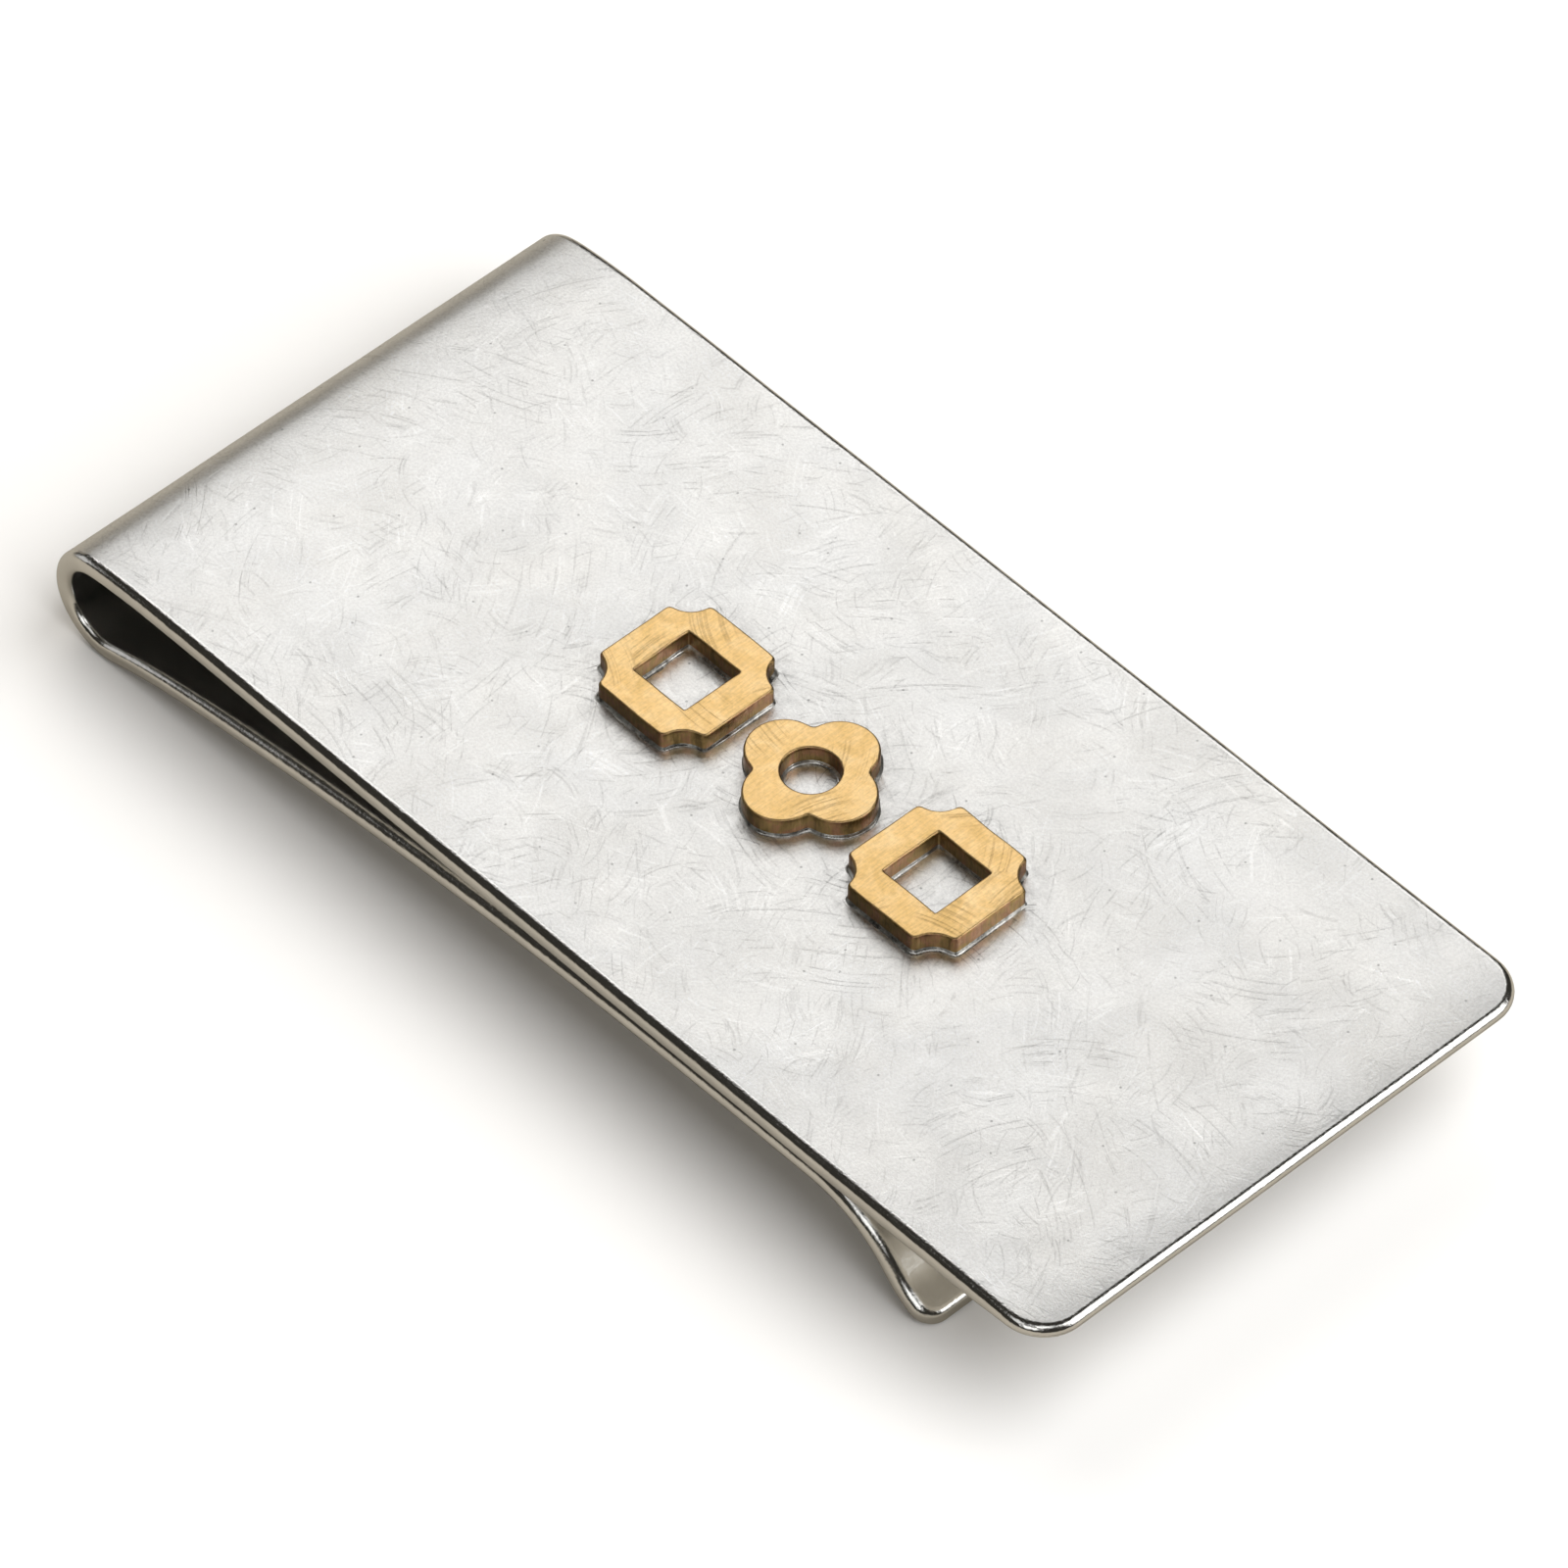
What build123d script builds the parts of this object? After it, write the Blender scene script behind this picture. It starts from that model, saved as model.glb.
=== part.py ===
from build123d import *
from math import cos, radians, sin
import os

# A money clip: one strip of silver sheet folded back under itself, with three
# pierced brass ornaments soldered in a row to its front.
#
# Frame: millimetres. The clip lies face up: +X runs from the fold to the free end,
# +Y across the strip and +Z out of the front face. The origin is under the middle
# of the clip, on the surface that the clip lies on.

# Strip
length = 55.0            # from the outside of the fold to the free end
width = 25.4
sheet = 0.9              # thickness of the silver sheet
edge_round = 0.25        # polished rounding along the strip's edges
corner_radius = 1.9      # the free end's corners, in plan
fold_radius = 2.65       # outside of the fold

# Leg: its bends are given at the middle of the sheet, from the fold to the tip
root_angle = 18.0        # slope at which the leg leaves the fold, in degrees
root_radius = 25.0       # bend between the fold and the flank
flank_angle = 10.0       # slope at which the long flank starts, in degrees
grip_gap = 0.06          # clearance between the closed leg's grip and the plate
grip_length = 7.4        # straight stretch that presses on the notes
tip_angle = 53.0         # steepest slope of the turned-down tip, in degrees
tip_radius = 5.2
lip_angle = 31.0         # slope of the last stretch, which guides the notes in
lip_radius = 3.4
leg_taper = 0.2          # how far each side of the leg has drawn in at the tip
tip_corner_radius = 1.0  # the tip's corners, in plan

# Ornaments
ornament_pitch = 6.9
ornament_shift = 1.95    # middle of the row, along the strip from the origin
ornament_offset = -0.3   # middle of the row, across the strip from the origin
ornament_height = 0.75
ornament_edge = 0.08     # softened top edge
plaque_across = 5.9      # the outer two, from side to side
plaque_bite = 1.1        # radius of the hollow in each of their corners
plaque_window = 2.8      # their square window, from side to side
lobe_radius = 1.55
lobe_offset = 1.5        # from the quatrefoil's middle to the middle of a lobe
round_window = 1.15      # radius of the quatrefoil's window
solder_height = 0.1
solder_margin = 0.2      # how far the solder shows around an ornament


def sine(angle):
    return sin(radians(angle))


def cosine(angle):
    return cos(radians(angle))


# Worked out from the dimensions above
half_sheet = sheet / 2
half_width = width / 2
end_x = length / 2
plate_top = 2 * fold_radius
plate_bottom = plate_top - sheet
plate_mid = plate_top - half_sheet
fold_x = fold_radius - end_x
fold_mid_radius = fold_radius - half_sheet
root_x = fold_x + fold_mid_radius * sine(root_angle)
root_z = fold_radius - fold_mid_radius * cosine(root_angle)
grip_z = plate_bottom - grip_gap - half_sheet
root_rise = root_radius * (cosine(flank_angle) - cosine(root_angle))
flank_radius = (grip_z - root_z - root_rise) / (1 - cosine(flank_angle))
tip_drop = tip_radius * (1 - cosine(tip_angle))
lip_drop = lip_radius * (cosine(lip_angle) - cosine(tip_angle))
lip_length = (grip_z - tip_drop - lip_drop - half_sheet * cosine(lip_angle)) / sine(lip_angle)


def long_edges(strip):
    """The edges along a strip's two sides, without those across it or through the sheet."""
    across = strip.edges().filter_by(Axis.Y)
    through = strip.edges().filter_by(lambda edge: abs(edge.length - sheet) < half_sheet / 10)
    return strip.edges() - across - through


os.makedirs("parts", exist_ok=True)

# Front plate: flat, from the fold to the free end
with BuildPart() as front_plate:
    with BuildSketch(Plane.XY.offset(plate_bottom)) as plate_outline:
        with Locations((fold_x, 0)):
            Rectangle(end_x - fold_x, width, align=(Align.MIN, Align.CENTER))
        fillet(plate_outline.vertices().group_by(Axis.X)[-1], corner_radius)
    extrude(amount=sheet)
    fold_joint = front_plate.faces().sort_by(Axis.X)[0]
    fillet(front_plate.edges().filter_by(Axis.Z, reverse=True) - fold_joint.edges(), edge_round)
front_plate.part.label = "front_plate"
export_step(front_plate.part, "parts/front_plate.step")

# Spring fold: turns the sheet back under the plate, a little past half a turn
with BuildPart() as spring_fold:
    with BuildSketch(Plane.XZ):
        with BuildLine():
            JernArc((fold_x, plate_mid), (-1, 0), fold_mid_radius, 180 + root_angle)
        trace(line_width=sheet)
    extrude(amount=half_width, both=True)
    fillet(long_edges(spring_fold), edge_round)
spring_fold.part.label = "spring_fold"
export_step(spring_fold.part, "parts/spring_fold.step")

# Spring leg: climbs from the fold to its grip under the plate, then turns down to a
# lip. It narrows towards the tip.
with BuildPart() as spring_leg:
    with BuildSketch(Plane.XZ):
        with BuildLine():
            root_direction = (cosine(root_angle), sine(root_angle))
            root = JernArc((root_x, root_z), root_direction, root_radius, flank_angle - root_angle)
            flank = JernArc(root @ 1, root % 1, flank_radius, -flank_angle)
            grip = Line(flank @ 1, flank @ 1 + flank % 1 * grip_length)
            tip = JernArc(grip @ 1, grip % 1, tip_radius, -tip_angle)
            lip = JernArc(tip @ 1, tip % 1, lip_radius, tip_angle - lip_angle)
            Line(lip @ 1, lip @ 1 + lip % 1 * (lip_length + sheet))
        trace(line_width=sheet)
        tip_x = (lip @ 1).X + lip_length * cosine(lip_angle) - half_sheet * sine(lip_angle)
    extrude(amount=half_width, both=True)
    with BuildSketch(Plane.XY) as taper_outline:
        with BuildLine():
            Polyline((tip_x, half_width - leg_taper), (fold_x, half_width),
                     (fold_x, -half_width), (tip_x, leg_taper - half_width), close=True)
        make_face()
    extrude(amount=plate_top, mode=Mode.INTERSECT)
    fillet(long_edges(spring_leg), edge_round)
    with BuildSketch(Plane.XY) as tip_outline:
        add(taper_outline.sketch)
        fillet(tip_outline.vertices().group_by(Axis.X)[-1], tip_corner_radius)
    extrude(amount=plate_top, mode=Mode.INTERSECT)
spring_leg.part.label = "spring_leg"
export_step(spring_leg.part, "parts/spring_leg.step")


def plaque(margin):
    """A square frame with hollow corners on the current plane, its outline and window moved
    by margin."""
    side = plaque_across + 2 * margin
    window_side = plaque_window - 2 * margin
    Rectangle(side, side)
    with GridLocations(plaque_across, plaque_across, 2, 2):
        Circle(plaque_bite - margin, mode=Mode.SUBTRACT)
    Rectangle(window_side, window_side, mode=Mode.SUBTRACT)


def quatrefoil(margin):
    """A pierced quatrefoil on the current plane, its outline and window moved by margin."""
    with PolarLocations(lobe_offset, 4):
        Circle(lobe_radius + margin)
    Circle(round_window - margin, mode=Mode.SUBTRACT)


ornaments = {"left": (-ornament_pitch, plaque), "centre": (0, quatrefoil), "right": (ornament_pitch, plaque)}

for place, (along, outline) in ornaments.items():
    middle = (ornament_shift + along, ornament_offset, plate_top)

    # Solder: the thin bed under an ornament, showing all round it and in its window
    with BuildPart() as solder:
        with BuildSketch(Plane(middle)):
            outline(solder_margin)
        extrude(amount=solder_height)
    solder.part.label = f"solder_{place}"
    export_step(solder.part, f"parts/solder_{place}.step")

    # Ornament: pierced brass with a softened top edge, on its bed of solder
    with BuildPart() as ornament:
        with BuildSketch(Plane(middle).offset(solder_height)):
            outline(0)
        extrude(amount=ornament_height)
        fillet(ornament.edges().group_by(Axis.Z)[-1], ornament_edge)
    ornament.part.label = f"ornament_{place}"
    export_step(ornament.part, f"parts/ornament_{place}.step")
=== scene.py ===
from math import asin, atan2, cos, pi, radians, sin

import bmesh
import bpy
import numpy as np
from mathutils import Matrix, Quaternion, Vector, noise


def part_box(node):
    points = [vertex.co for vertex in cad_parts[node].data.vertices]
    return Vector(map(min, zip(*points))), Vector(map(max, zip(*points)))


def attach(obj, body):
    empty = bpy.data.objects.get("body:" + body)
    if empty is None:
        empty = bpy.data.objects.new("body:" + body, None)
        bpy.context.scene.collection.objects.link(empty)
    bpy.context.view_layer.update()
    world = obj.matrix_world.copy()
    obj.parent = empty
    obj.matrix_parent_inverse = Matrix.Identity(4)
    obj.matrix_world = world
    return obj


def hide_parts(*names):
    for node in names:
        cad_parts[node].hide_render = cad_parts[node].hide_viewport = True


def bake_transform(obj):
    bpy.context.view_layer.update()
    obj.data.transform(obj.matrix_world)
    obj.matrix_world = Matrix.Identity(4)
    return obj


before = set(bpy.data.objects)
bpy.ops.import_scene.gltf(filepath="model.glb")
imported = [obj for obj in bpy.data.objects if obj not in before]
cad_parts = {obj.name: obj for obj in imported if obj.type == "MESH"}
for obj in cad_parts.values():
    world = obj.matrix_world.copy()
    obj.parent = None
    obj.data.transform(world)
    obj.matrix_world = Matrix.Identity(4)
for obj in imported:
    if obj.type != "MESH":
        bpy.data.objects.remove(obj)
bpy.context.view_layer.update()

# The clip is worked out in millimetres, and its meshes are written in metres.
MM = 0.001

# Without a seed, noise_vector differs from run to run.
NOISE_SEED = 7
noise.seed_set(NOISE_SEED)


def in_mm(corner):
    return corner / MM


# ---------------------------------------------------------------- sizes from the frame
plate_low, plate_high = map(in_mm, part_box("front_plate"))
fold_low, fold_high = map(in_mm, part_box("spring_fold"))
leg_high = in_mm(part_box("spring_leg")[1])
SHEET = plate_high.z - plate_low.z
HALF_SHEET = SHEET / 2
HALF_WIDTH = plate_high.y
PLATE_TOP = plate_high.z
PLATE_MID = PLATE_TOP - HALF_SHEET
FREE_END = plate_high.x
FOLD_SIDE = fold_low.x

# Shape of the strip, as the CAD model has it
CORNER_RADIUS = 1.9      # the free end's corners
TIP_CORNER_RADIUS = 1.0  # the leg's corners
LEG_TAPER = 0.2          # how far each side of the leg has drawn in at its tip
GRIP_MID = leg_high.z - HALF_SHEET
ROOT_ANGLE, ROOT_RADIUS = 18.0, 25.0
FLANK_ANGLE = 10.0
GRIP_LENGTH = 7.4
TIP_ANGLE, TIP_RADIUS = 53.0, 5.2
LIP_ANGLE, LIP_RADIUS = 31.0, 3.4

# Finer shape, which only the visible strip has
OUTER_ROUND, INNER_ROUND = 0.38, 0.32   # polished rounding of its edges, outside and inside
LEG_INNER_ROUND = 0.50   # the same inside the leg, where notes slide in
LEG_ROUND_GROWTH = 6     # that rounding is at full size after one part in this many of the leg
SEAM = FOLD_SIDE + 6.6   # where the plate's mesh ends and the spring's begins
SHOULDER_ANGLE, SHOULDER_LENGTH = 7.0, 3.6   # soft start of the fold
END_ROLL_ANGLE, END_ROLL_LENGTH = 7.0, 2.3   # the free end is rolled down
THINNED, THINNING_LENGTH = 0.28, 5.0         # its underside is filed away towards its edge
EASE = 0.9               # length over which one bend passes into the next
WAVES = ((0.035, 9, 11, 1.7), (0.02, 4, 5, 6.1))   # height, length along, length across, seed

# Fineness of the meshes
STEP = 0.02              # length of one step along a bent line
COARSE, FINE = 0.45, 0.12   # longest and shortest distance between cross-sections
TURN_STEP = 0.05         # turn between cross-sections, in radians
CORNER_STEPS, ROUND_STEPS = 10, 8   # steps round a corner, and round an edge of the sheet
EDGE_COLUMN = 0.99       # place of an extra column by each long edge, as a share of the half width
PLATE_COLUMNS, SPRING_COLUMNS = 56, 40   # across the strip
SHARP = radians(40)      # edges that turn more than this are shown as sharp


# ---------------------------------------------------------------- bent lines
class BentLine:
    """A line in the clip's side plane, from stretches of (length, turn in degrees)."""

    def __init__(self, start, heading, stretches):
        bend = np.concatenate([np.full(max(1, round(length / STEP)), radians(turn) / length)
                               for length, turn in stretches])
        window = np.ones(round(EASE / STEP)) / round(EASE / STEP)
        pad = len(window)
        bend = np.convolve(np.pad(bend, pad, mode="edge"), window, mode="same")[pad:-pad]
        angle = radians(heading) + np.concatenate([[0], np.cumsum(bend) * STEP])
        middle = (angle[1:] + angle[:-1]) / 2
        self.x = start[0] + np.concatenate([[0], np.cumsum(np.cos(middle)) * STEP])
        self.z = start[1] + np.concatenate([[0], np.cumsum(np.sin(middle)) * STEP])
        self.angle = angle
        self.bend = np.append(bend, bend[-1])
        self.along = np.arange(len(angle)) * STEP
        self.length = self.along[-1]

    def at(self, along):
        """x, z and heading at a distance along the line."""
        return tuple(float(np.interp(along, self.along, v)) for v in (self.x, self.z, self.angle))

    def settle(self, first, last, rise):
        """Lifts the line by rise, growing smoothly between two distances along it."""
        t = np.clip((self.along - first) / (last - first), 0, 1)
        self.z = self.z + rise * t * t * (3 - 2 * t)

    def stations(self, first, last):
        """Distances for cross-sections between two places, closer where it bends."""
        places = [first]
        while places[-1] < last - FINE:
            bend = abs(float(np.interp(places[-1], self.along, self.bend)))
            places.append(places[-1] + min(COARSE, max(FINE, TURN_STEP / max(bend, 1e-6))))
        places[-1] = last
        return places


def arc_length(radius, turn):
    return radius * radians(abs(turn))


def plate_line():
    """The middle of the sheet from the seam to the free end."""
    flat = FREE_END - SEAM - END_ROLL_LENGTH
    return BentLine((SEAM, PLATE_MID), 0, [(flat, 0), (END_ROLL_LENGTH, -END_ROLL_ANGLE)])


def spring_line():
    """The middle of the sheet from the seam, round the fold and along the leg to its lip."""
    shoulder_drop = SHOULDER_LENGTH * sin(radians(SHOULDER_ANGLE / 2))
    lean = cos(radians(SHOULDER_ANGLE))
    fold_outside = (PLATE_MID - shoulder_drop + HALF_SHEET * lean) / (1 + lean)
    fold_mid = fold_outside - HALF_SHEET
    shoulder_end = FOLD_SIDE + fold_outside - fold_mid * sin(radians(SHOULDER_ANGLE))
    flat = SEAM - SHOULDER_LENGTH * cos(radians(SHOULDER_ANGLE / 2)) - shoulder_end
    fold_turn = 180 - SHOULDER_ANGLE + ROOT_ANGLE
    root_height = fold_outside - fold_mid * cos(radians(ROOT_ANGLE))
    root_rise = ROOT_RADIUS * (cos(radians(FLANK_ANGLE)) - cos(radians(ROOT_ANGLE)))
    flank_radius = (GRIP_MID - root_height - root_rise) / (1 - cos(radians(FLANK_ANGLE)))
    tip_drop = TIP_RADIUS * (1 - cos(radians(TIP_ANGLE)))
    lip_drop = LIP_RADIUS * (cos(radians(LIP_ANGLE)) - cos(radians(TIP_ANGLE)))
    lip_end = (OUTER_ROUND + (HALF_SHEET - OUTER_ROUND) * cos(radians(LIP_ANGLE))
               - OUTER_ROUND * sin(radians(LIP_ANGLE)))
    stretches = [
        (flat, 0),
        (SHOULDER_LENGTH, SHOULDER_ANGLE),
        (arc_length(fold_mid, fold_turn), fold_turn),
        (arc_length(ROOT_RADIUS, ROOT_ANGLE - FLANK_ANGLE), FLANK_ANGLE - ROOT_ANGLE),
        (arc_length(flank_radius, FLANK_ANGLE), -FLANK_ANGLE),
        (GRIP_LENGTH, 0),
        (arc_length(TIP_RADIUS, TIP_ANGLE), -TIP_ANGLE),
        (arc_length(LIP_RADIUS, TIP_ANGLE - LIP_ANGLE), TIP_ANGLE - LIP_ANGLE),
        ((GRIP_MID - tip_drop - lip_drop - lip_end) / sin(radians(LIP_ANGLE)), 0),
    ]
    line = BentLine((SEAM, PLATE_MID), 180, stretches)
    ends = np.cumsum([length for length, _ in stretches])
    grip = (ends[4] + ends[5]) / 2
    line.settle(ends[2], ends[4], GRIP_MID - line.at(grip)[1])
    line.settle(ends[5], ends[7], lip_end - line.z[-1])
    return line


# ---------------------------------------------------------------- strip meshes
OUTER, INNER, RIM, CAP = range(4)   # kinds of face, and the strip's material slots


def waviness(x, y):
    """Slight hand-made unevenness of the sheet, in millimetres."""
    return sum(height * noise.noise(Vector((x / along, y / across, seed)))
               for height, along, across, seed in WAVES)


def strip_mesh(name, line, corner, half_width, inner_round, thinned, columns, flip):
    """A strip of sheet bent along a line: cut square at its start, and with rounded edges
    and corners everywhere else. half_width and inner_round are functions of the distance
    along it, thinned is how much of the sheet's inner side is gone at its end, and flip
    is for a line that runs from the seam the other way, towards -X."""
    flat_end = line.length - corner
    end_width = half_width(line.length)
    stations = line.stations(0, flat_end)
    turns = [pi / 2 * k / CORNER_STEPS for k in range(1, CORNER_STEPS + 1)]

    def cross_sections(rounding):
        """Place along the strip, half width and direction of its outline, where its rounded
        edge begins."""
        reach = corner - rounding(line.length)
        return ([(s, half_width(s) - rounding(s), 0.0) for s in stations]
                + [(flat_end + reach * sin(turn), end_width - corner + reach * cos(turn), turn)
                   for turn in turns])

    mesh = bmesh.new()
    uv = mesh.loops.layers.uv.new("sheet")
    flat = {}

    def vertex(s, y, t):
        x, z, angle = line.at(s)
        side = -1 if flip else 1
        nx, nz = -sin(angle) * side, cos(angle) * side
        lift = waviness(x, y)
        v = mesh.verts.new(((x + nx * t) * MM, y * MM, (z + nz * t + lift) * MM))
        flat[v] = (-s if flip else s, y)
        return v

    def face(corners, kind):
        f = mesh.faces.new(corners)
        f.material_index = kind
        for loop in f.loops:
            loop[uv].uv = flat[loop.vert]

    def inner_depth(s):
        t = max(0.0, 1 - (line.length - s) / THINNING_LENGTH)
        return HALF_SHEET - thinned * t * t * (3 - 2 * t)

    def outer_round(s):
        return OUTER_ROUND

    evenly = [2 * j / columns - 1 for j in range(1, columns)]
    across = [-1, -EDGE_COLUMN] + evenly + [EDGE_COLUMN, 1]
    far_side = len(across) - 1
    outside, inside = cross_sections(outer_round), cross_sections(inner_round)
    top = [[vertex(s, u * w, HALF_SHEET) for u in across] for s, w, _ in outside]
    bottom = [[vertex(s, u * w, -inner_depth(s)) for u in across] for s, w, _ in inside]
    last = len(outside) - 1
    for i in range(last):
        for j in range(far_side):
            for grid, kind in ((top, OUTER), (bottom, INNER)):
                face([grid[i][j], grid[i][j + 1], grid[i + 1][j + 1], grid[i + 1][j]], kind)

    # Rim: from the grids' open sides and end, round the edge of the sheet
    border = [(i, 0, -1) for i in range(last + 1)]
    border += [(last, j, 0) for j in range(1, far_side)]
    border += [(i, far_side, 1) for i in range(last, -1, -1)]
    posts = []
    for i, j, side in border:
        post = [top[i][j]]
        for places, rounding, sign, order in ((outside, outer_round, 1, range(1, ROUND_STEPS + 1)),
                                              (inside, inner_round, -1, range(ROUND_STEPS, 0, -1))):
            s, w, turn = places[i]
            radius = rounding(s)
            ahead, out = (1.0, 0.0) if side == 0 else (sin(turn), side * cos(turn))
            face_depth = HALF_SHEET if sign > 0 else inner_depth(s)
            for k in order:
                lean = pi / 2 * k / ROUND_STEPS
                reach = radius * sin(lean)
                depth = face_depth - radius * (1 - cos(lean))
                post.append(vertex(s + reach * ahead, across[j] * w + reach * out, sign * depth))
        posts.append(post + [bottom[i][j]])
    for near, far in zip(posts, posts[1:]):
        for k in range(len(near) - 1):
            face([near[k], near[k + 1], far[k + 1], far[k]], RIM)

    # Cap: the square cut at the seam
    for j in range(far_side):
        face([top[0][j], top[0][j + 1], bottom[0][j + 1], bottom[0][j]], CAP)
    face(posts[0], CAP)
    face(posts[-1], CAP)
    return finished(name, mesh)


def finished(name, mesh):
    """A Blender object in the scene from a closed bmesh, smooth except at its sharp edges."""
    bmesh.ops.recalc_face_normals(mesh, faces=mesh.faces)
    for face in mesh.faces:
        face.smooth = True
    for edge in mesh.edges:
        edge.smooth = edge.calc_face_angle(0.0) < SHARP
    data = bpy.data.meshes.new(name)
    mesh.to_mesh(data)
    mesh.free()
    piece = bpy.data.objects.new(name, data)
    bpy.context.scene.collection.objects.link(piece)
    return piece


def leg_share(line):
    """A function of the distance along the spring: 0 as far as the fold's end, 1 at the lip."""
    start = next(s for s, x, angle in zip(line.along, line.x, line.angle)
                 if angle > 1.5 * pi and x > fold_high.x)
    return lambda s: max(0.0, (s - start) / (line.length - start))


def leg_half_width(line):
    """Half the strip's width along the spring: full to the fold, drawn in along the leg."""
    share = leg_share(line)
    return lambda s: HALF_WIDTH - LEG_TAPER * share(s)


def leg_inner_round(line):
    """The rounding inside the spring: the plate's as far as the fold, and larger on the leg."""
    share = leg_share(line)
    return lambda s: (INNER_ROUND + (LEG_INNER_ROUND - INNER_ROUND)
                      * min(1.0, LEG_ROUND_GROWTH * share(s)))


# ---------------------------------------------------------------- pierced ornaments
PLAQUE_BITE = 1.1        # radius of the hollow in each of a plaque's corners
PLAQUE_WINDOW = 1.4      # from its middle to a side of its square window
LOBE_RADIUS, LOBE_OFFSET = 1.55, 1.5
ROUND_WINDOW = 1.15
WORN_EDGE = 0.11         # rounding of the brass along its top edges
HALF_SIDE_POINTS, HOLLOW_POINTS = 18, 17   # points along half a plaque's side and along a hollow
LOBE_POINTS = 40
SOFTENING, GROWN_SOFTENING = 4, 60   # smoothing passes, and more of them for each mm of growth
SOLDER_WIDTH, SOLDER_RISE = 0.13, 0.15   # reach of the solder's fillet, out and up the walls
SOLDER_UNEVEN = 0.4
WANDER = 0.035           # how far the hand-cut lines stray
HALO_MARGIN = 0.15       # from an ornament's walls to the line that its marks and painted shade spread from
HALO_WIDTH = 0.75        # reach of the darkening round the ornaments: partly marks that soldering and cleaning left on the plate, partly painted shade at their feet
TOP, WALL = range(2)     # kinds of face on an ornament, and its material slots


def four_turns(points, growth):
    """A loop from the points of its first quarter, anticlockwise, a little softened, and
    more so where it has grown."""
    loop = []
    for turn in range(4):
        c, s = (1, 0, -1, 0)[turn], (0, 1, 0, -1)[turn]
        loop += [Vector((c * p.x - s * p.y, s * p.x + c * p.y)) for p in points]
    for _ in range(SOFTENING + round(GROWN_SOFTENING * max(growth, 0))):
        loop = [(loop[n - 1] + 2 * loop[n] + loop[(n + 1) % len(loop)]) / 4 for n in range(len(loop))]
    return loop


def plaque(growth):
    """Outline and window of a pierced square plaque with hollow corners, both grown into
    the open."""
    reach = ornament_reach("ornament_left")
    bite = PLAQUE_BITE - growth
    lean = asin(growth / bite)
    side_end = reach - bite * cos(lean)
    side = [Vector((reach + growth, y)) for y in np.linspace(0, side_end, HALF_SIDE_POINTS)]
    hollow = [Vector((reach + bite * cos(a), reach + bite * sin(a)))
              for a in np.linspace(lean - pi / 2, -pi - lean, HOLLOW_POINTS + 2)[1:-1]]
    outline = side + hollow + [Vector((p.y, p.x)) for p in side[:0:-1]]
    half = PLAQUE_WINDOW - growth
    count = len(outline) // 2
    edge = [Vector((half, half * n / count)) for n in range(count + 1)]
    window = edge + [Vector((p.y, p.x)) for p in edge[:0:-1]]
    return four_turns(outline, growth), four_turns(window[:len(outline)], growth)


def quatrefoil(growth):
    """Outline and round window of a pierced quatrefoil, both grown into the open."""
    radius = LOBE_RADIUS + growth
    notch = LOBE_OFFSET / 2 + (radius**2 - LOBE_OFFSET**2 / 2) ** 0.5 / 2**0.5
    spread = atan2(notch, notch - LOBE_OFFSET)
    lobe = [Vector((LOBE_OFFSET + radius * cos(a), radius * sin(a)))
            for a in spread * np.linspace(-1, 1, LOBE_POINTS, endpoint=False)]
    window = [(ROUND_WINDOW - growth) * p.normalized() for p in lobe]
    return four_turns(lobe, growth), four_turns(window, growth)


def ornament_reach(node):
    low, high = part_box(node)
    return in_mm(high.x - low.x) / 2


def quarter_turns(count):
    return [pi / 2 * n / count for n in range(count + 1)]


def brass_profile(height):
    """Rings of an ornament, from the foot of its outline over the top to its window's foot,
    as (side, growth, height, kind of the band up to the next ring). Side 1 is the outline
    and 0 the window; a side in between is on the way across."""
    walls = [(0.0, 0.0), (0.0, height * 0.3), (0.0, height * 0.6)]
    edge = [(-WORN_EDGE * (1 - cos(a)), height - WORN_EDGE * (1 - sin(a))) for a in quarter_turns(5)]
    up = [(1, growth, z, WALL) for growth, z in walls + edge]
    across = [(side, -WORN_EDGE, height, TOP) for side in (0.93, 0.75, 0.5, 0.25, 0.07)]
    down = [(0, growth, z, WALL) for growth, z in reversed(walls + edge)]
    for n in (-1, -2, -3):
        up[n] = up[n][:3] + (TOP,)
    for n in (0, 1):
        down[n] = down[n][:3] + (TOP,)
    return up + across + down


def solder_profile(width, height):
    """Rings of the solder under an ornament: a hollow fillet up both of its walls, from just
    below the plate's top to inside the brass."""
    fillet = [(width * (1 - sin(a)), height * (1 - cos(a))) for a in quarter_turns(6)]
    foot = (width, -0.03)
    hidden = (-0.06, height)
    outside = [(1, growth, z, WALL) for growth, z in [foot] + fillet + [hidden]]
    inside = [(0, growth, z, WALL) for growth, z in [hidden] + fillet[::-1] + [foot]]
    return outside + inside


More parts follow.
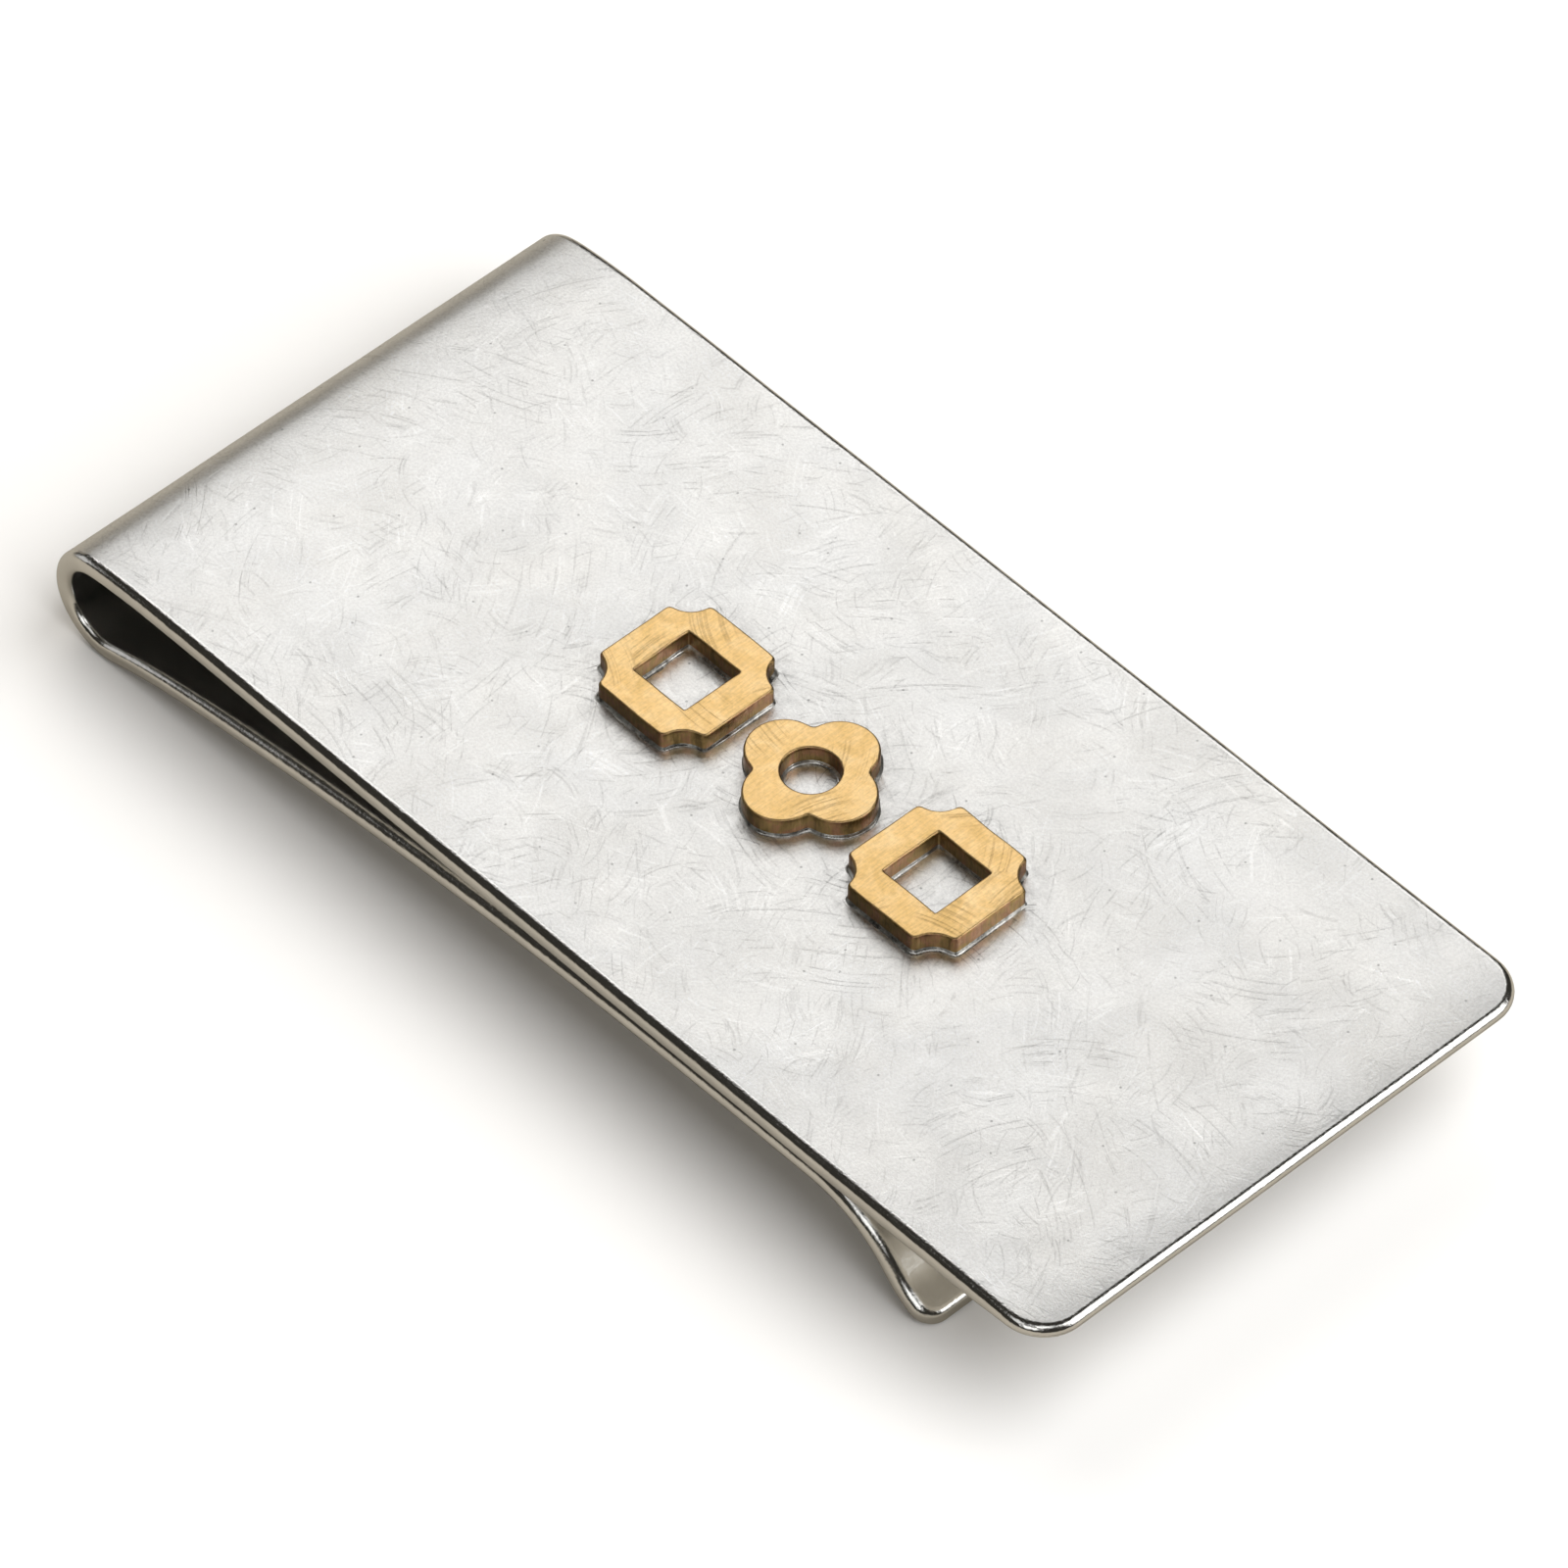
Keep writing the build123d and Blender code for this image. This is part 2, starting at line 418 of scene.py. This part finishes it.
def pierced_solid(name, place, shape, profile, uneven, wander):
    """A ring-shaped solid through the rings of a profile. uneven varies its growth from
    place to place, and wander is how far its lines stray, in millimetres."""
    mesh = bmesh.new()
    rings = []
    for side, growth, height, _ in profile:
        narrow, wide = shape(growth * (1 - uneven)), shape(growth * (1 + uneven))
        ring = []
        for n in range(len(narrow[0])):
            level = noise.noise(Vector((narrow[0][n].x, narrow[0][n].y, place.x + 9 * side)) * 1.1)
            outer = narrow[0][n].lerp(wide[0][n], 0.5 + level)
            inner = narrow[1][n].lerp(wide[1][n], 0.5 + level)
            p = inner.lerp(outer, side)
            stray = noise.noise_vector(Vector((p.x * 0.6, p.y * 0.6, place.x))) * wander
            corner = (place.x + p.x + stray.x, place.y + p.y + stray.y,
                      place.z + height + stray.z * 0.5)
            ring.append(mesh.verts.new([c * MM for c in corner]))
        rings.append(ring)
    count = len(rings[0])
    for near, far, (_, _, _, kind) in zip(rings, rings[1:] + rings[:1], profile):
        for n in range(count):
            m = (n + 1) % count
            face = mesh.faces.new([near[n], near[m], far[m], far[n]])
            face.material_index = kind
    return finished(name, mesh)


def mark_halo(piece, loops):
    """Stores on a piece how near each of its points is to the ornaments' edges: 1 at them. This places the
    marks and the painted shade that darken the plate round the ornaments.
    """
    points = np.array([v.co for v in piece.data.vertices])[:, None, :2] / MM
    edges = np.array([(p.x, p.y) for p in loops])[None]
    distance = np.sqrt(((points - edges) ** 2).sum(2)).min(1)
    near = np.exp(-(distance / HALO_WIDTH) ** 2)
    attribute = piece.data.attributes.new("halo", "FLOAT", "POINT")
    attribute.data.foreach_set("value", near.astype(np.float32))


# ---------------------------------------------------------------- materials
class Nodes:
    """A new material, and short calls that add nodes to it and link them."""

    def __init__(self, name, **shader):
        self.material = bpy.data.materials.new(name)
        self.material.use_nodes = True
        self.tree = self.material.node_tree
        self.shader = self.tree.nodes["Principled BSDF"]
        self.set(self.shader, shader)

    def set(self, node, inputs):
        for key, value in inputs.items():
            socket = node.inputs[key if isinstance(key, int) else key.replace("_", " ")]
            if isinstance(value, bpy.types.NodeSocket):
                self.tree.links.new(value, socket)
            else:
                socket.default_value = value

    def add(self, kind, inputs, **settings):
        node = self.tree.nodes.new("ShaderNode" + kind)
        for key, value in settings.items():
            setattr(node, key, value)
        self.set(node, inputs)
        return node

    def math(self, operation, *values):
        return self.add("Math", dict(enumerate(values)), operation=operation).outputs[0]

    def vector(self, operation, *values):
        node = self.add("VectorMath", dict(enumerate(values)), operation=operation)
        return node.outputs["Value" if operation in ("LENGTH", "DOT_PRODUCT") else "Vector"]

    def remap(self, value, low, high, to_low, to_high):
        """value taken smoothly from low..high to to_low..to_high."""
        inputs = {0: value, 1: low, 2: high, 3: to_low, 4: to_high}
        return self.add("MapRange", inputs, interpolation_type="SMOOTHSTEP").outputs[0]

    def noise(self, vector, scale, detail=2.0, roughness=0.5, distortion=0.0):
        inputs = {"Vector": vector, "Scale": scale, "Detail": detail, "Roughness": roughness,
                  "Distortion": distortion}
        return self.add("TexNoise", inputs).outputs["Fac"]

    def colour(self, value, stops):
        """A colour ramp of (position, colour) stops."""
        ramp = self.add("ValToRGB", {0: value})
        elements = ramp.color_ramp.elements
        while len(elements) < len(stops):
            elements.new(0.5)
        for element, (position, colour) in zip(elements, stops):
            element.position = position
            element.color = (*colour, 1)
        return ramp.outputs["Color"]

    def tint(self, colour, factor):
        """colour multiplied by a grey factor."""
        inputs = {"Factor": 1.0, 6: colour, 7: factor}
        return self.add("Mix", inputs, data_type="RGBA", blend_type="MULTIPLY").outputs[2]

    def bump(self, height, strength=1.0):
        """Height in millimetres to the shader's normal."""
        node = self.add("Bump", {"Strength": strength, "Distance": MM, "Height": height})
        self.set(self.shader, {"Normal": node.outputs["Normal"]})


def sheet_coordinates(nodes):
    """Millimetres along and across the strip, as if it were unrolled."""
    return nodes.add("UVMap", {}, uv_map="sheet").outputs["UV"]


def object_coordinates(nodes):
    """Millimetres in the object's own frame."""
    place = nodes.add("TexCoord", {}).outputs["Object"]
    return nodes.add("VectorMath", {0: place, "Scale": 1 / MM}, operation="SCALE").outputs["Vector"]


HAIR_LENGTH = 2.3        # typical length of a fine scratch

# Layers of scratches on the silver, as (patch, radius, spacing, keep) of hair_scratches
HAIRS = ((1.9, 3.0, 0.10, 0.3), (2.6, 6.0, 0.11, 0.3), (1.4, 2.5, 0.09, 0.32), (2.1, 9.0, 0.10, 0.3))
CUTS = ((9.0, 16.0, 0.12, 0.14), (6.0, 9.0, 0.10, 0.15))


def hair_scratches(nodes, place, patch, radius, spacing, keep, seed):
    """Fine arcs, in patches that each have a direction of their own. patch is a patch's
    size, radius the arcs' radius and spacing the distance between them, in millimetres.
    keep is the share of the arcs that show, and the result is 1 on a scratch."""
    place = nodes.vector("ADD", place, (seed * 17.3, seed * 5.9, 0))
    cell = nodes.add("TexVoronoi", {"Vector": place, "Scale": 1 / patch}, voronoi_dimensions="2D")
    dice = nodes.add("SeparateColor", {0: cell.outputs["Color"]})
    angle = nodes.math("MULTIPLY", dice.outputs[0], 2 * pi)
    direction = nodes.add("CombineXYZ", {"X": nodes.math("COSINE", angle), "Y": nodes.math("SINE", angle)})
    spoke = nodes.add("VectorMath", {0: direction.outputs[0], "Scale": radius}, operation="SCALE")
    hub = nodes.vector("ADD", cell.outputs["Position"], spoke.outputs["Vector"])
    arm = nodes.vector("SUBTRACT", place, hub)
    distance = nodes.vector("LENGTH", arm)
    out = nodes.math("MULTIPLY", distance, 1 / spacing)
    lean = nodes.vector("DOT_PRODUCT", arm, direction.outputs[0])
    cosine = nodes.math("DIVIDE", lean, nodes.math("MULTIPLY", distance, -1.0))
    along = nodes.math("MULTIPLY", nodes.math("ARCCOSINE", cosine), radius / HAIR_LENGTH)
    layer = nodes.math("MULTIPLY", dice.outputs[1], 50)
    line = nodes.add("CombineXYZ", {"X": out, "Y": along, "Z": layer})
    streak = nodes.noise(line.outputs[0], 1.0, 0.0)
    shown = nodes.remap(streak, 0.74 - 0.3 * keep, 0.82 - 0.3 * keep, 0.0, 1.0)
    fade = nodes.remap(cell.outputs["Distance"], 0.3, 0.6, 1.0, 0.0)
    return nodes.math("MULTIPLY", shown, fade)


def total(nodes, *parts):
    """The sum of (value, weight) pairs."""
    result = 0.0
    for value, weight in reversed(parts):
        result = weight if value == 1.0 else nodes.math("MULTIPLY_ADD", value, weight, result)
    return result


def satin_silver():
    """The hand-rubbed outside of the strip."""
    nodes = Nodes("silver_satin", Metallic=1.0)
    place = sheet_coordinates(nodes)
    drift = nodes.remap(nodes.noise(place, 0.09, 2.0), 0.3, 0.7, -1.0, 1.0)
    clouds = nodes.remap(nodes.noise(place, 0.28, 3.0, 0.55, 0.6), 0.3, 0.7, -1.0, 1.0)
    grain = nodes.remap(nodes.noise(place, 8.0, 3.0, 0.7), 0.32, 0.68, -1.0, 1.0)
    rubbed = nodes.remap(nodes.noise(place, 0.25, 2.0), 0.35, 0.65, 0.6, 1.0)
    hairs = [hair_scratches(nodes, place, *layer, seed) for seed, layer in enumerate(HAIRS, 1)]
    dark_hair = nodes.math("MULTIPLY", total(nodes, (hairs[0], 1.0), (hairs[2], 1.0)), rubbed)
    light_hair = total(nodes, (hairs[1], 1.0), (hairs[3], 1.0))
    cuts = nodes.math("MAXIMUM", *(hair_scratches(nodes, place, *layer, seed)
                                   for seed, layer in enumerate(CUTS, len(HAIRS) + 1)))
    pores = nodes.add("TexVoronoi", {"Vector": place, "Scale": 0.3}, voronoi_dimensions="2D")
    specks = nodes.remap(pores.outputs["Distance"], 0.010, 0.020, 1.0, 0.0)
    near = nodes.add("Attribute", {}, attribute_name="halo").outputs["Fac"]
    smudge_and_shade = nodes.remap(nodes.noise(place, 1.3, 4.0, 0.75), 0.36, 0.66, 0.0, 1.0)
    # Darker round the ornaments' feet: partly marks left by soldering and cleaning, partly painted shade.
    stain_and_shade = nodes.math("MULTIPLY", near, total(nodes, (smudge_and_shade, 0.8), (dark_hair, 0.5)))

    bright = total(nodes, (clouds, 0.012), (drift, 0.016), (grain, 0.10), (dark_hair, -0.09),
                   (light_hair, 0.04), (cuts, -0.10), (stain_and_shade, -0.3), (specks, -0.4), (1.0, 0.975))
    warm = nodes.colour(nodes.noise(place, 0.2, 3.0, 0.6, 0.5),
                        [(0.35, (0.955, 0.948, 0.926)), (0.65, (0.955, 0.940, 0.906))])
    nodes.set(nodes.shader, {"Base Color": nodes.tint(warm, bright)})
    nodes.set(nodes.shader, {"Roughness": total(
        nodes, (clouds, 0.03), (grain, 0.025), (dark_hair, 0.05), (light_hair, -0.04), (1.0, 0.36))})
    nodes.bump(total(nodes, (dark_hair, -0.0016), (light_hair, 0.0012), (cuts, -0.003), (grain, 0.0016),
                     (clouds, 0.006), (stain_and_shade, -0.004)))
    return nodes.material


def polished_silver(name, base, roughness, streaks, pitting):
    """The bright edges, and the inside of the strip. streaks and pitting are the depths of
    its marks."""
    nodes = Nodes(name, Metallic=1.0)
    place = sheet_coordinates(nodes)
    drawn = nodes.add("Mapping", {"Vector": place, "Scale": (1.2, 5.0, 1.0)}).outputs[0]
    marks = nodes.noise(drawn, 1.6, 4.0, 0.6)
    pits = nodes.noise(place, 9.0, 3.0, 0.6)
    shade = nodes.remap(nodes.noise(place, 0.5, 3.0, 0.6), 0.3, 0.7, 0.9, 1.0)
    nodes.set(nodes.shader, {"Base Color": nodes.tint((*base, 1), shade)})
    nodes.set(nodes.shader, {"Roughness": total(nodes, (marks, 0.12), (pits, 0.06), (1.0, roughness))})
    nodes.bump(total(nodes, (marks, streaks), (pits, pitting)))
    return nodes.material


def satin_brass():
    """The brushed tops of the ornaments."""
    nodes = Nodes("brass_satin", Metallic=1.0)
    place = object_coordinates(nodes)
    drawn = nodes.add("Mapping", {"Vector": place, "Rotation": (0, 0, radians(35)),
                                  "Scale": (9.0, 0.9, 1.0)}).outputs[0]
    lines = nodes.noise(drawn, 1.3, 3.0, 0.65)
    scratches = hair_scratches(nodes, place, 2.5, 6.0, 0.07, 0.6, 6)
    blotches = nodes.noise(place, 0.9, 3.0, 0.6, 0.6)
    tone = nodes.colour(blotches, [(0.3, (0.80, 0.53, 0.21)), (0.5, (0.90, 0.61, 0.27)),
                                   (0.75, (0.97, 0.70, 0.36))])
    shade = total(nodes, (nodes.remap(lines, 0.3, 0.7, -1.0, 1.0), 0.10), (scratches, -0.14),
                  (nodes.remap(nodes.noise(place, 6.0, 3.0, 0.7), 0.32, 0.68, -1.0, 1.0), 0.08), (1.0, 1.0))
    nodes.set(nodes.shader, {"Base Color": nodes.tint(tone, shade)})
    nodes.set(nodes.shader, {"Roughness": total(nodes, (lines, 0.14), (scratches, 0.05), (1.0, 0.24))})
    nodes.bump(total(nodes, (lines, 0.006), (scratches, -0.003), (blotches, 0.02)))
    return nodes.material


def sawn_and_shaded_brass():
    """The ornaments' walls: file marks, patches left coppery by the heat of soldering, and a tone much
    darker than the tops' that is painted shade on the walls.
    """
    nodes = Nodes("brass_sawn_shaded", Metallic=1.0)
    place = object_coordinates(nodes)
    filed = nodes.noise(nodes.add("Mapping", {"Vector": place, "Scale": (4.0, 4.0, 0.7)}).outputs[0],
                        2.0, 3.0, 0.6)
    patches = nodes.noise(place, 1.1, 4.0, 0.65, 0.5)
    # The dark brown tones are painted shade on the walls, as well as coppery patches from soldering.
    tone = nodes.colour(patches, [(0.3, (0.24, 0.16, 0.055)), (0.45, (0.42, 0.28, 0.11)),
                                  (0.58, (0.48, 0.25, 0.14)), (0.75, (0.64, 0.48, 0.29))])
    shade = nodes.remap(filed, 0.3, 0.7, 0.7, 1.0)
    nodes.set(nodes.shader, {"Base Color": nodes.tint(tone, shade)})
    nodes.set(nodes.shader, {"Roughness": total(nodes, (filed, 0.2), (1.0, 0.22))})
    nodes.bump(total(nodes, (filed, 0.03), (patches, 0.02)))
    return nodes.material


def solder_metal():
    """Silver solder: brighter than the sheet where it ran smooth, and dark beside that, partly stained and
    partly painted shade in the crease at the ornaments' feet.
    """
    nodes = Nodes("solder", Metallic=1.0)
    place = object_coordinates(nodes)
    lumps = nodes.noise(place, 2.2, 4.0, 0.6)
    stains_and_shade = nodes.noise(place, 1.2, 4.0, 0.7, 0.6)
    # The darkest tones are partly stains and partly painted shade in the crease at the walls' foot.
    tone = nodes.colour(stains_and_shade, [(0.36, (0.16, 0.15, 0.135)), (0.48, (0.45, 0.44, 0.41)),
                                 (0.62, (0.86, 0.85, 0.81))])
    nodes.set(nodes.shader, {"Base Color": tone})
    nodes.set(nodes.shader, {"Roughness": nodes.remap(lumps, 0.3, 0.7, 0.22, 0.45)})
    nodes.bump(nodes.math("MULTIPLY", lumps, 0.02))
    return nodes.material


def floor_paper(name, shade, tint):
    """The matt sheet that the clip lies on."""
    nodes = Nodes(name, Roughness=0.9, Specular_IOR_Level=0.1)
    light = tuple(c * shade for c in tint)
    dark = tuple(c * shade * 0.985 for c in tint)
    nodes.set(nodes.shader, {"Base Color": nodes.colour(
        nodes.noise(object_coordinates(nodes), 0.02, 2.0), [(0.3, dark), (0.7, light)])})
    return nodes.material


def dress(piece, slot, *materials):
    for material in materials:
        piece.data.materials.append(material)


# ---------------------------------------------------------------- the clip
silver = satin_silver()
bright_edge = polished_silver("silver_edge", (0.93, 0.92, 0.89), 0.05, 0.010, 0.009)
inside = polished_silver("silver_inside", (0.90, 0.89, 0.86), 0.14, 0.012, 0.006)
sawn_end = polished_silver("silver_seam", (0.80, 0.79, 0.76), 0.2, 0.004, 0.001)

plate_path, spring_path = plate_line(), spring_line()
plate = strip_mesh("plate_sheet", plate_path, CORNER_RADIUS, lambda s: HALF_WIDTH,
                   lambda s: INNER_ROUND, THINNED, PLATE_COLUMNS, False)
spring = strip_mesh("spring_sheet", spring_path, TIP_CORNER_RADIUS, leg_half_width(spring_path),
                    leg_inner_round(spring_path), 0.0, SPRING_COLUMNS, True)

brass_top, brass_wall_shaded, solder = satin_brass(), sawn_and_shaded_brass(), solder_metal()
halo_loops = []
for place, shape in (("left", plaque), ("centre", quatrefoil), ("right", plaque)):
    low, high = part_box(f"ornament_{place}")
    middle = Vector((in_mm(low.x + high.x) / 2, in_mm(low.y + high.y) / 2, PLATE_TOP))
    ornament = pierced_solid(f"pierced_{place}", middle, shape,
                             brass_profile(in_mm(high.z) - PLATE_TOP), 0.0, WANDER)
    seat = pierced_solid(f"fillet_{place}", middle, shape,
                         solder_profile(SOLDER_WIDTH, SOLDER_RISE), SOLDER_UNEVEN, WANDER)
    for outline in shape(HALO_MARGIN):
        halo_loops += [p + middle.xy for p in outline]
    dress(ornament, "brass", brass_top, brass_wall_shaded)
    dress(seat, "solder", solder, solder)
    for piece, node in ((ornament, f"ornament_{place}"), (seat, f"solder_{place}")):
        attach(piece, "front")
        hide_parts(node)

mark_halo(plate, halo_loops)
for piece in (plate, spring):
    dress(piece, "silver", silver, inside, bright_edge, sawn_end)
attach(plate, "front")
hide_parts("front_plate")
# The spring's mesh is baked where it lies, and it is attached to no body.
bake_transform(spring)
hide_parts("spring_fold", "spring_leg")


# ---------------------------------------------------------------- studio
WHITE, CREAM, TAUPE = (1.0, 0.995, 0.985), (1.0, 0.95, 0.88), (1.0, 0.92, 0.78)
FLOOR_HALF_SIDE = 3.0            # metres
PAPER_SHADE, TABLE_SHADE = 0.87, 0.36
TABLE_LIFT = 0.0001              # metres: the reflected floor lies just above the seen one
ROOM_GLOW = 0.028


def place_floor(name, lift, shade, tint):
    mesh = bmesh.new()
    bmesh.ops.create_grid(mesh, x_segments=2, y_segments=2, size=FLOOR_HALF_SIDE)
    floor = finished(name, mesh)
    floor.location.z = lift
    floor.data.materials.append(floor_paper(name, shade, tint))
    return floor


def place_floors():
    """The pale floor that is seen, and a grey one that only the metal sees, so that the clip
    reflects a darker table than the white paper around it."""
    seen = place_floor("floor", 0.0, PAPER_SHADE, WHITE)
    seen.visible_glossy = False
    reflected = place_floor("reflected_floor", TABLE_LIFT, TABLE_SHADE, TAUPE)
    reflected.visible_camera = False
    reflected.visible_diffuse = False
    reflected.visible_shadow = False


def softbox(name, direction, distance, size, radiance, on_metal=True, on_floor=True, tint=(1, 1, 1)):
    """A soft light that faces the clip from a direction, at a distance and with a size in
    metres. Its radiance is what a mirror shows."""
    lamp = bpy.data.lights.new(name, "AREA")
    lamp.shape = "RECTANGLE"
    lamp.size, lamp.size_y = size
    lamp.energy = radiance * pi * size[0] * size[1]
    lamp.color = tint
    light = bpy.data.objects.new(name, lamp)
    bpy.context.scene.collection.objects.link(light)
    aim = Vector(direction).normalized()
    light.location = aim * distance
    light.rotation_euler = aim.to_track_quat("Z", "Y").to_euler()
    light.visible_camera = False
    light.visible_glossy = on_metal
    light.visible_diffuse = on_floor


def place_lights():
    """A faint room, cards and lamps that only the metal reflects, and three large lamps
    that only light the floor."""
    world = bpy.data.worlds.new("studio")
    world.use_nodes = True
    world.node_tree.nodes["Background"].inputs["Color"].default_value = (*TAUPE, 1)
    world.node_tree.nodes["Background"].inputs["Strength"].default_value = ROOM_GLOW
    bpy.context.scene.world = world
    softbox("key", (-0.4855, 0.4525, 0.748), 0.22, (0.20, 0.15), 1.16, on_floor=False)
    softbox("right", (0.70, 0.45, 0.55), 0.3, (0.20, 0.26), 1.8, on_floor=False)
    softbox("low_left", (-0.87, 0.40, 0.20), 0.4, (0.26, 0.10), 0.28, on_floor=False, tint=TAUPE)
    softbox("front_card", (0.40, -0.74, 0.54), 0.4, (0.20, 0.16), 1.2, on_floor=False)
    softbox("front_high", (-0.05, -0.62, 0.78), 0.4, (0.16, 0.14), 0.8, on_floor=False)
    softbox("low_front", (-0.88, -0.42, 0.28), 0.4, (0.22, 0.16), 0.5, on_floor=False)
    softbox("front_top", (0.45, -0.25, 0.86), 0.35, (0.12, 0.12), 1.5, on_floor=False)
    softbox("floor_light", (0.55, 0.25, 0.75), 0.6, (0.8, 0.8), 3.3, on_metal=False)
    softbox("floor_left", (-0.70, 0.35, 0.60), 0.6, (0.6, 0.5), 2.2, on_metal=False,
            tint=CREAM)
    softbox("floor_fill", (0.35, -0.75, 0.55), 0.6, (0.6, 0.4), 1.1, on_metal=False,
            tint=CREAM)


# The photo's view: angles in degrees, from -Y towards +X and up, and lengths in millimetres.
# The aim and the distance are measured in the clip's frame, and the lens and sensor are the camera's.
CAMERA_AZIMUTH, CAMERA_ELEVATION, CAMERA_ROLL = 47.016, 48.436, 0.115
CAMERA_AIM = (0.697, -0.521, 4.506)
CAMERA_DISTANCE = 501.5
LENS, SENSOR = 305.34, 36.0


def place_camera():
    data = bpy.data.cameras.new("camera")
    data.lens, data.sensor_width = LENS, SENSOR
    data.clip_start, data.clip_end = 0.01, 20
    camera = bpy.data.objects.new("camera", data)
    bpy.context.scene.collection.objects.link(camera)
    azimuth, elevation = radians(CAMERA_AZIMUTH), radians(CAMERA_ELEVATION)
    back = Vector((sin(azimuth) * cos(elevation), -cos(azimuth) * cos(elevation), sin(elevation)))
    camera.location = (Vector(CAMERA_AIM) + back * CAMERA_DISTANCE) * MM
    roll = Quaternion((0, 0, 1), radians(CAMERA_ROLL))
    camera.rotation_mode = "QUATERNION"
    camera.rotation_quaternion = back.to_track_quat("Z", "Y") @ roll
    bpy.context.scene.camera = camera


place_floors()
place_lights()
place_camera()
bpy.context.scene.view_settings.view_transform = "Standard"
